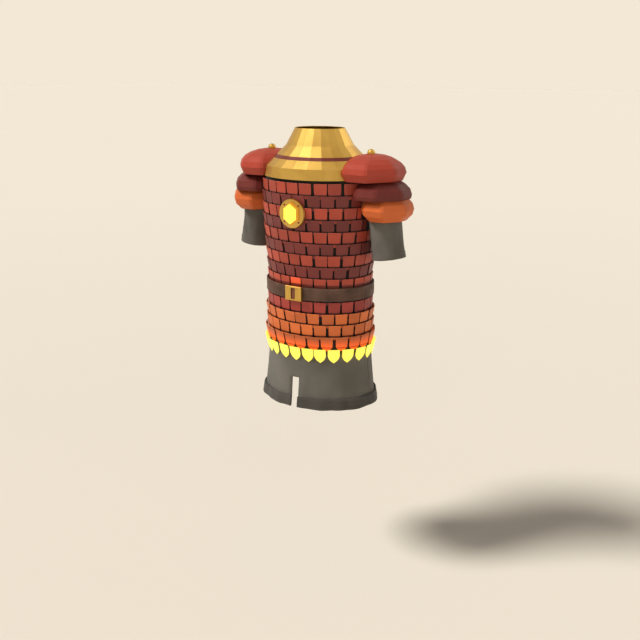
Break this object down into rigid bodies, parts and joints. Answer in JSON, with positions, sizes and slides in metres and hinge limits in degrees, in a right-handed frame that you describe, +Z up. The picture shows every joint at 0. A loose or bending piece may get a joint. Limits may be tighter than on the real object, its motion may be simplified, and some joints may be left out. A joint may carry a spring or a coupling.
{
  "type": "scale armour",
  "caption": "Short-sleeved cloth tunic covered with rows of overlapping scales, with a metal gorget, layered pauldrons, a belt with a square buckle and a round gem brooch",
  "frame": {"origin": "on the middle line of the garment, at the height of the shoulders of the wearer who holds it up", "axes": "+Z up, -Y the front, +X the garment's own left"},
  "size_m": [0.654, 0.3404, 0.8923],
  "materials": {
    "cloth": "dark grey heavy woven wool, matt",
    "hem": "darker folded wool band, matt",
    "brass": "polished gold coloured brass in flat facets",
    "inlay": "dark red enamel on metal",
    "red": "satin brick red lacquer on steel",
    "maroon": "satin maroon lacquer on steel",
    "crimson": "satin crimson lacquer on steel",
    "amber": "satin orange lacquer on steel",
    "ember": "orange lacquer that turns to a glow at the tips",
    "flame": "bright yellow glowing scales",
    "leather": "brown smooth leather",
    "gem": "bright yellow glowing cut gem"
  },
  "bodies": {
    "root": {"tunic_front": "cloth", "tunic_back": "cloth", "sleeve_left": "cloth", "sleeve_right": "cloth", "hem_band": "hem", "gorget_plate": "brass", "gorget_inlay": "inlay", "gorget_collar": "brass", "row_01_front": "red", "row_01_back": "red", "row_02_front": "maroon", "row_02_back": "maroon", "row_03_front": "red", "row_03_back": "red", "row_04_front": "maroon", "row_04_back": "maroon", "row_05": "red", "row_06": "maroon", "row_07": "red", "row_08": "maroon", "row_09": "red", "row_10": "maroon", "row_11": "crimson", "row_12": "amber", "row_13": "amber", "row_14": "ember", "row_15": "flame", "belt": "leather", "buckle": "brass", "buckle_tongue": "leather", "brooch_disc": "brass", "brooch_gem": "gem", "brooch_stud_1": "inlay", "brooch_stud_2": "inlay", "brooch_stud_3": "inlay", "brooch_stud_4": "inlay", "pauldron_left_cap": "red", "pauldron_left_middle": "maroon", "pauldron_left_lower": "amber", "pauldron_right_cap": "red", "pauldron_right_middle": "maroon", "pauldron_right_lower": "amber", "knob_left": "brass", "knob_right": "brass"}
  },
  "joints": []
}
